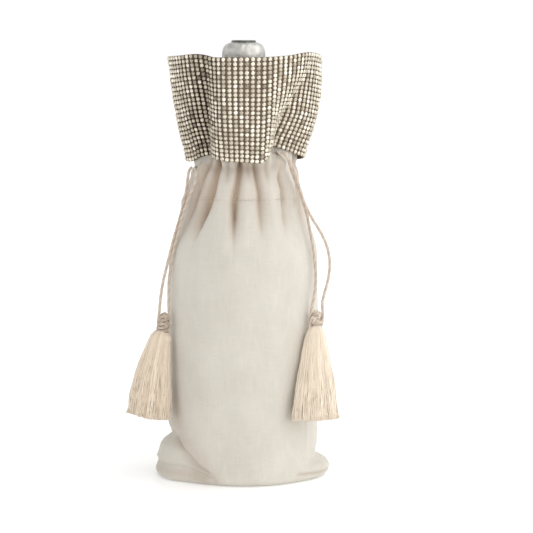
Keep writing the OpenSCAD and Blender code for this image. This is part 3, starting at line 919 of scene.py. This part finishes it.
def cloth_radius(b, z):
    """Outer radius of the cloth."""
    b, z = np.broadcast_arrays(np.asarray(b, float), np.asarray(z, float))
    heights, half_widths, half_depths = zip(*BODY)
    w, d = smooth_interp(z, heights, half_widths), smooth_interp(z, heights, half_depths)
    sb, cb = np.sin(np.radians(b)), np.cos(np.radians(b))
    r = 1 / np.sqrt((sb / w) ** 2 + (cb / d) ** 2)

    # Ears: the pouch's two bottom corners, a tall puffed one at the left and a low curl at the right.
    r = r + window(bearing_gap(b, -88), 19, 24) * table(z, LEFT_EAR)
    r = r + window(bearing_gap(b, 88), 12, 24) * table(z, RIGHT_EAR)
    r = r + neck_bulge(b, z) - gather_depth(b, z)

    # Puffs that carry the cord exits.
    for exit_b, exit_z, reach in EXIT_PUFFS:
        near = window(bearing_gap(b, exit_b), 3.5, 7) * window(z - exit_z, 6, 14)
        r = r * (1 - near) + np.maximum(r, reach) * near

    # Body: long soft drapes, the overhang over the left ear, creases near the floor, the casing's step.
    for height, folds, twist, start in DRAPES:
        r = r + height * np.sin(np.radians(folds * b + twist * z + start)) * window(z - 85, 45, 60)
    r = r - lip(b, z, OVERHANG, 5.0, 2.2)
    r = r - lip(b, z, FOOT_FOLD, 3.5, 1.5)
    for line, width, rise in CREASES:
        r = r + stroke(b, z, line, width, rise)
    over = z - CASING_ROW
    r = r - 0.07 * hump(over, 0.8) + 0.22 / (1 + np.exp((0.8 - over) * 1.2))

    # Side seams: a narrow welt with a shallow dip at each side.
    for seam_b in (-90, 90):
        off = bearing_gap(b, seam_b) * math.radians(1) * 50
        welt = 0.55 * hump(off, 1.1) - 0.35 * hump(np.abs(off) - 2.6, 1)
        r = r + window(z - 110, 92, 12) * welt

    # The collar presses the cloth in, and the bottle holds it out.
    s = np.clip((z - collar_low(b)) / (collar_high(b) - collar_low(b)), 0, 1)
    under = window(np.clip(collar_low(b) - z, 0, 11), 0.5, 10)
    limit = collar_radius(b, s) - 1.2
    r = r * (1 - under) + np.minimum(r, limit) * under
    room = np.where(z > 198, 1.7, 1.3)
    return np.maximum(r, bottle_radius(z) + room)


def fold_share(b, z):
    """Painted shade of the cloth, from 0 to 1: deep in the gathers, along the listed folds, and a little
    over the neck.
    """
    fold = np.maximum(gather_depth(b, z) / 7.5 - 0.15, 0) * window(np.clip(z, 238, 250) - 238, 0, 12)
    # Over the two-ply neck a little of the same warmer, darker tone: partly the second ply, partly painted
    # shade.
    fold = fold + 0.11 * np.clip((z - 194) / 10, 0, 1)
    for line, width, share in PAINTED_FOLD_SHADES:
        fold = fold + stroke(b, z, line, width, share)
    return np.clip(fold, 0, 1)


def cloth_wrinkle(b, z):
    """Small uneven wrinkles, as an offset of the radius."""
    out = np.zeros(len(b))
    for i, (bi, zi) in enumerate(zip(b, z)):
        a = math.radians(bi)
        p = Vector((math.sin(a) * 52, -math.cos(a) * 52, zi))
        neck = min(1.0, max(0.0, (zi - 150) / 60))
        foot = min(1.0, max(0.0, (45 - zi) / 35))
        coarse = noise.noise(Vector((p.x / 16, p.y / 16, p.z / 38)))
        fine = noise.noise(Vector((p.x / 5, p.y / 5, p.z / 11 + 9)))
        out[i] = coarse * (0.45 + 0.7 * neck + 0.5 * foot) + fine * (0.10 + 0.35 * neck + 0.25 * foot)
    return out


CLOTH_COLS = 441
BOTTOM_RING = 0.25


def cloth_sheet(name, start, stop, mat, holes=()):
    """One panel of the bag between two bearings, from the hem down to the seam under the base."""
    cols = (CLOTH_COLS - 1) * (stop - start) // 360 + 1
    b = np.linspace(start, stop, cols)
    low_rings = [1.6, 1.1, 0.7, 0.4, BOTTOM_RING]
    heights = np.concatenate([np.arange(HEM_Z, 12, -1.0), np.arange(12, 2, -0.6), low_rings])
    grid_b, grid_z = np.meshgrid(b, heights)
    r = cloth_radius(grid_b, grid_z)
    r = r + cloth_wrinkle(grid_b.ravel(), grid_z.ravel()).reshape(r.shape) * np.clip(grid_z / 6, 0, 1)
    tuck = np.interp(grid_z, [BOTTOM_RING, 0.4, 0.7, 1.1, 1.6, 3], [-2.2, -1.6, -1.1, -0.7, -0.4, 0])
    r = np.maximum(r + tuck, 0)
    points = polar(grid_b, r, grid_z)
    edge = points[-1]
    rows = [points]
    for share in np.linspace(1, 0, 14)[1:]:
        flat = edge.copy()
        flat[:, 1] *= share
        flat[:, 2] = BOTTOM_RING
        rows.append(flat[None])
    points = np.concatenate(rows)
    count = len(points)
    steps = np.linalg.norm(np.diff(points, axis=0), axis=2)
    v = np.concatenate([np.zeros((1, cols)), np.cumsum(steps, axis=0)])
    u = np.broadcast_to(b / 360 * CLOTH_ROUND, (count, cols))
    faces = grid_faces(count, cols, False)
    flatpts = points.reshape(-1, 3)
    if holes:
        mid = flatpts[faces].mean(1)
        keep = np.ones(len(faces), bool)
        for centre, radius in holes:
            keep &= np.linalg.norm(mid - np.array(centre), axis=1) > radius
        faces = faces[keep]
    obj = mesh_piece(name, flatpts, faces, mat)
    cloth_places(obj, np.stack([u, v, 0 * v], -1))
    # The cloth's painted shade in its folds, for its material.
    vertex_numbers(obj, "fold", fold_share(np.broadcast_to(b, (count, cols)), points[:, :, 2]))
    thicken(obj, 0.8, -1)
    return obj


def surface_point(b, z):
    return polar(b, cloth_radius(b, z), z)


EXITS = {"left": (-58, 223), "right": (40, 233.6)}
exit_points = {side: surface_point(b, z) for side, (b, z) in EXITS.items()}
front = cloth_sheet("front_cloth_panel", -90, 90, linen, [(p, 2.4) for p in exit_points.values()])
back = cloth_sheet("back_cloth_panel", 90, 270, linen)


def ring_sheet(name, heights, radius_of, mat, thickness):
    """A closed strip of cloth round the bag."""
    cols = 420
    b = np.linspace(-180, 180, cols + 1)[:-1]
    grid_b, grid_z = np.meshgrid(b, heights)
    r = radius_of(grid_b, grid_z)
    points = polar(grid_b, r, grid_z).reshape(-1, 3)
    obj = mesh_piece(name, points, grid_faces(len(heights), cols, True), mat)
    cloth_places(obj, np.stack([grid_b / 360 * CLOTH_ROUND, grid_z, 0 * grid_z], -1))
    thicken(obj, thickness, 0)
    return obj


def lining_radius(b, z):
    gap = np.interp(z, [200, 206, 216, 222, 236, 242, 250], [0.5, 0.5, 1.0, 1.5, 1.5, 0.6, 0.5])
    return np.maximum(cloth_radius(b, z) - 1.2 - gap, bottle_radius(z) + 0.5)


casing = ring_sheet("casing_lining", np.arange(HEM_Z - 0.4, 200, -1.2), lining_radius, lining, 0.6)
tape_strip = ring_sheet("collar_tape_strip", np.arange(HEM_Z - 0.6, 240.2, -0.8),
                        lambda b, z: cloth_radius(b, z) + 0.55, tape, 0.8)


# ---------------------------------------------------------------- sewing

def stitch(soup, start, end, radius, out, rng):
    """One thread stitch that arches over the cloth, in a tone of its own."""
    start, end, out = np.array(start), np.array(end), np.array(out)
    pts = [start - out * 0.25, start + (end - start) * 0.2 + out * 0.2, (start + end) / 2 + out * 0.28,
           start + (end - start) * 0.8 + out * 0.2, end - out * 0.25]
    soup.add(*tube(pts, radius, 6), tone=rng.uniform(0.3, 0.8))


def casing_stitches():
    rng, soup = random.Random(5), Soup()
    count = 92
    step = 360 / count
    length = step * 0.66
    for b in -180 + step * np.arange(count):
        ends = surface_point(b, CASING_ROW), surface_point(b + length, CASING_ROW)
        stitch(soup, *ends, 0.2, polar(b + length / 2, 1.0, 0.0), rng)
    return soup.piece("casing_stitch_row", thread)


# The long seams' stitches: from one to the next, and the length of each.
SEAM_PITCH, SEAM_STITCH = 3.9, 2.5


def seam_stitches():
    rng, soup = random.Random(6), Soup()
    for seam_b in (-90, 90):
        out = (math.sin(math.radians(seam_b)), 0, 0)
        for b in (seam_b - 2.4, seam_b + 2.4):
            for z in np.arange(32, 197, SEAM_PITCH):
                stitch(soup, surface_point(b, z), surface_point(b, z + SEAM_STITCH), 0.22, out, rng)
    return soup.piece("side_seam_stitches", thread)


def base_stitches():
    rng, soup = random.Random(7), Soup()
    height = 1.25
    for x in np.arange(-42, 42, SEAM_PITCH):
        stitch(soup, (x, 0, height), (x + SEAM_STITCH, 0, height), 0.24, UP, rng)
    return soup.piece("base_seam_stitches", thread)


def buttonhole(side):
    """Satin stitches round a cord exit."""
    b, z = EXITS[side]
    rng, soup = random.Random(8), Soup()
    count, inner, outer, neck_radius = 34, 2.0, 3.7, 40.0
    degrees_per_mm = math.degrees(1 / neck_radius)
    for a in TAU * np.arange(count) / count:
        ends = [surface_point(b + reach * math.cos(a) * degrees_per_mm, z + reach * math.sin(a))
                for reach in (inner, outer)]
        stitch(soup, *ends, 0.3, polar(b, 1.0, 0.0), rng)
    return soup.piece(side + "_buttonhole_stitches", thread)


stitched = [casing_stitches(), seam_stitches(), base_stitches()]
holes = {side: buttonhole(side) for side in EXITS}


def channel_cord(side, z):
    """The drawcord inside the casing, midway between the plies, which waves with the gathers."""
    b = np.linspace(-180, 180, 361)[:-1]
    cloth_inside, smoothings = 0.9, 3
    r = (cloth_radius(b, z) - cloth_inside + lining_radius(b, z)) / 2
    for _ in range(smoothings):
        r = (np.roll(r, 1) + r + np.roll(r, -1)) / 3
    soup = Soup()
    twisted(soup, resample(polar(b, r, z), 0.8, closed=True), 1.0, closed=True, sides=6)
    return soup.piece(side + "_channel_cord_twist", cord_yarn)


channels = {"left": channel_cord("left", 223.0), "right": channel_cord("right", 234.0)}


# ---------------------------------------------------------------- collar: net and stones

# The net as it lies flat: its height, and the width of one column of stones.
NET_FLAT_HEIGHT, COLUMN_WIDTH = 76, 4.0


def collar_net():
    per_stone = 4
    columns = COLLAR_COLS * per_stone
    shares = np.linspace(0, 1, COLLAR_ROWS * 2 + 1)
    rows, places, depths = [], [], []
    for s in shares:
        b = collar_columns(s, columns, 0)
        # The net's painted shade in the valleys, for its material.
        depths.append(collar_shade(b, s))
        rows.append(collar_point(b, s))
        across = np.arange(columns) / per_stone * COLUMN_WIDTH
        places.append(np.stack([across, np.full(columns, s * NET_FLAT_HEIGHT), 0 * b], -1))
    faces = grid_faces(len(shares), columns, True)[:, ::-1]
    obj = mesh_piece("collar_net_band", np.concatenate(rows), faces, net)
    cloth_places(obj, np.concatenate(places))
    vertex_numbers(obj, "fold", np.concatenate(depths))
    thicken(obj, 0.6, 1)
    return obj


def stone_shapes():
    """Cup and gem of one stone, flat at the origin with the outward way along +Z."""
    sides = 8
    a = np.arange(sides) * TAU / sides
    cup_profile = [(1.3, 0.0), (1.5, 0.2), (1.58, 0.7), (1.54, 0.94), (1.42, 0.9), (1.38, 0.7)]
    cup_verts = [(r * math.cos(t), r * math.sin(t), h) for r, h in cup_profile for t in a]
    cup_faces = [tuple(f) for f in grid_faces(len(cup_profile), sides, True)[:, ::-1].tolist()]
    gem_rings = ((1.5, 0.92, 0.0), (1.22, 1.3, math.pi / sides), (0.74, 1.62, 0.0))
    gem_verts = [(r * math.cos(t + turn), r * math.sin(t + turn), h) for r, h, turn in gem_rings for t in a]
    gem_faces = []
    for j in range(sides):
        k, low, mid = (j + 1) % sides, sides, 2 * sides
        gem_faces += [(j, k, low + j), (k, low + k, low + j)]
        gem_faces += [(low + j, mid + k, mid + j), (low + j, low + k, mid + k)]
    gem_faces.append(tuple(range(2 * sides, 3 * sides)))
    return np.array(cup_verts), cup_faces, np.array(gem_verts), gem_faces


def unit(vector):
    return vector / np.linalg.norm(vector)


def collar_stones():
    rng = random.Random(17)
    over_net, tilt = 0.35, 0.07
    cup_v, cup_f, gem_v, gem_f = stone_shapes()
    cups, gems = Soup(), Soup()
    for row in range(COLLAR_ROWS):
        s = (row + 0.5) / COLLAR_ROWS
        b = collar_columns(s, COLLAR_COLS, 0.5)
        here = collar_point(b, s, over_net)
        deep = collar_shade(b, s)
        side = collar_point(b + 0.6, s) - collar_point(b - 0.6, s)
        up = collar_point(b, s + 0.015) - collar_point(b, s - 0.015)
        for k in range(COLLAR_COLS):
            x = unit(side[k])
            z = unit(np.cross(x, up[k]))
            y = np.cross(z, x)
            cup_basis = np.stack([x, y, z])
            # Each gem sits a little tilted in its cup, and is turned at random.
            z = unit(z + rng.gauss(0, tilt) * x + rng.gauss(0, tilt) * y)
            x = unit(x - z * x.dot(z))
            y = np.cross(z, x)
            turn = rng.uniform(0, TAU)
            c, q = math.cos(turn), math.sin(turn)
            gem_basis = np.stack([x * c + y * q, -x * q + y * c, z])
            # Cups and gems take the collar's painted valley shade in their tones, besides a random part.
            cups.add(cup_v @ cup_basis + here[k], cup_f, 0.2 * rng.random() + 0.8 * deep[k])
            tone = rng.gauss(0.66, 0.19) - 0.34 * deep[k]
            gems.add(gem_v @ gem_basis + here[k], gem_f, min(1.0, max(0.0, tone)))
    return cups.piece("collar_stone_cups", cup), gems.piece("collar_stone_gems", gem, smooth=False)


collar_band = collar_net()
stone_cups, stone_gems = collar_stones()


# ---------------------------------------------------------------- foil over the bottle's neck

def foil_sleeve():
    """Thin foil sleeve, pressed to the glass and crinkled where it turns over the rim."""
    outline = [(15.25, 254), (15.3, 262), (15.3, 280), (15.3, 296), (15.25, 301.5), (14.9, 304.2),
               (14.1, 306.4), (12.7, 308.2), (10.6, 309.3), (8.2, 309.9), (5, 310.1), (1.5, 310.15)]
    path = resample([(r, 0, z) for r, z in outline], 0.55)
    sides, neck_radius = 150, 15
    points = []
    for r, _, z in path:
        for t in np.arange(sides) * TAU / sides:
            p = Vector((math.cos(t) * neck_radius, math.sin(t) * neck_radius, z))
            crease = noise.ridged_multi_fractal(p / 5.5, 0.9, 2.1, 4, 1.0, 2.0)
            pleat = 0.12 * math.sin(17 * t + 2 * noise.noise(p / 8)) * min(1, max(0, (z - 298) / 6))
            amount = 0.09 * (crease - 1.1) + 0.10 * noise.noise(p / 3.0) + 0.7 * pleat
            amount *= min(1.0, r / 5)
            reach = r + amount * min(1, r / 10)
            points.append((reach * math.cos(t), reach * math.sin(t), z + (amount * 0.7 if z > 305 else 0)))
    faces = grid_faces(len(path), sides, True)[:, ::-1].tolist()
    top, last = len(points), len(points) - sides
    points.append((0, 0, 310.1))
    faces += [(last + j, last + (j + 1) % sides, top) for j in range(sides)]
    obj = mesh_piece("foil_sleeve_crinkled", points, faces, foil)
    thicken(obj, 0.3, -1)
    return obj


def top_disc():
    profile = [(0, 311.0), (6.6, 311.0), (7.0, 311.35), (7.9, 311.35), (8.5, 311.1), (8.75, 310.6),
               (8.6, 310.0), (8.0, 309.8)]
    sides = 64
    points = [(r * math.cos(TAU * k / sides), r * math.sin(TAU * k / sides), z)
              for r, z in profile for k in range(sides)]
    return mesh_piece("foil_top_disc", points, grid_faces(len(profile), sides, True), disc_metal)


foil_piece, disc_piece = foil_sleeve(), top_disc()


# ---------------------------------------------------------------- floor and light

def floor_look():
    look = Look("pale_floor", rough=0.35, **{"Specular IOR Level": 0.3})
    look.set(look.shader, {"Emission Color": (1, 1, 1, 1), "Emission Strength": 0.2})
    grain = look.noise(look.position(), 4.0, 3.0)
    return look.finish(look.ramp(grain, (0.3, (0.90, 0.90, 0.895)), (0.7, (0.92, 0.92, 0.915))))


FLOOR_SIDE = 40.0
floor_mesh = bpy.data.meshes.new("studio_floor")
floor_corners = [(x * FLOOR_SIDE, y * FLOOR_SIDE, 0) for x, y in ((-1, -1), (1, -1), (1, 1), (-1, 1))]
floor_mesh.from_pydata(floor_corners, [], [(0, 1, 2, 3)])
floor = bpy.data.objects.new("studio_floor", floor_mesh)
floor.data.materials.append(floor_look())
scene.collection.objects.link(floor)

world = bpy.data.worlds.new("studio")
scene.world = world
world.use_nodes = True
sky = world.node_tree
coords = sky.nodes.new("ShaderNodeTexCoord")
parts = sky.nodes.new("ShaderNodeSeparateXYZ")
ramp = sky.nodes.new("ShaderNodeValToRGB")
# The sky's brightness near the horizon and overhead.
for element, position, grey in zip(ramp.color_ramp.elements, (0.30, 0.75), (1.0, 0.66)):
    element.position = position
    element.color = (grey, grey, grey, 1)
sky.links.new(coords.outputs["Generated"], parts.inputs[0])
sky.links.new(parts.outputs["Z"], ramp.inputs["Fac"])
sky.links.new(ramp.outputs["Color"], sky.nodes["Background"].inputs["Color"])
sky.nodes["Background"].inputs["Strength"].default_value = 1.0

key = bpy.data.objects.new("key_light", bpy.data.lights.new("key_light", "SUN"))
key.data.energy = 1.6
key.data.angle = math.radians(90)
key.location = (1.7, -0.75, 1.9)
look_at(key, (0, 0, 0))
scene.collection.objects.link(key)


# ---------------------------------------------------------------- what each piece stands for and rides on

def place(piece, body, slot, *nodes):
    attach(piece, body)
    if nodes:
        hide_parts(*nodes)


place(front, "bag", "linen", "front_panel")
place(back, "bag", "linen", "back_panel")
place(casing, "bag", "linen", "drawcord_casing")
place(tape_strip, "bag", "cotton_tape", "collar_tape")
for piece, node in zip(stitched, ("casing_stitching", "side_seam_stitching", "bottom_seam_stitching")):
    place(piece, "bag", "linen_thread", node)
for side, piece in holes.items():
    place(piece, "bag", "linen_thread", side + "_buttonhole")
for side, piece in channels.items():
    place(piece, "bag", "twisted_cord", side + "_channel_cord")
place(collar_band, "bag", "stone_net", "collar_mesh")
place(stone_gems, "bag", "stones", "collar_stones")
place(stone_cups, "bag", "stones")
place(foil_piece, "bottle", "foil", "foil_capsule")
place(disc_piece, "bottle", "foil_disc", "capsule_disc")
for side, (cord_piece, cord_path, knot_piece, head_piece, wrap_piece, skirt_piece) in cord_sets.items():
    place(cord_piece, side + "_cord", "twisted_cord", side + "_drawcord")
    place(knot_piece, side + "_cord", "twisted_cord", side + "_cord_knot")
    place(head_piece, side + "_tassel", "tassel_yarn", side + "_tassel_head")
    place(wrap_piece, side + "_tassel", "wrap_thread", side + "_tassel_wrap")
    place(skirt_piece, side + "_tassel", "tassel_yarn", side + "_tassel_skirt")
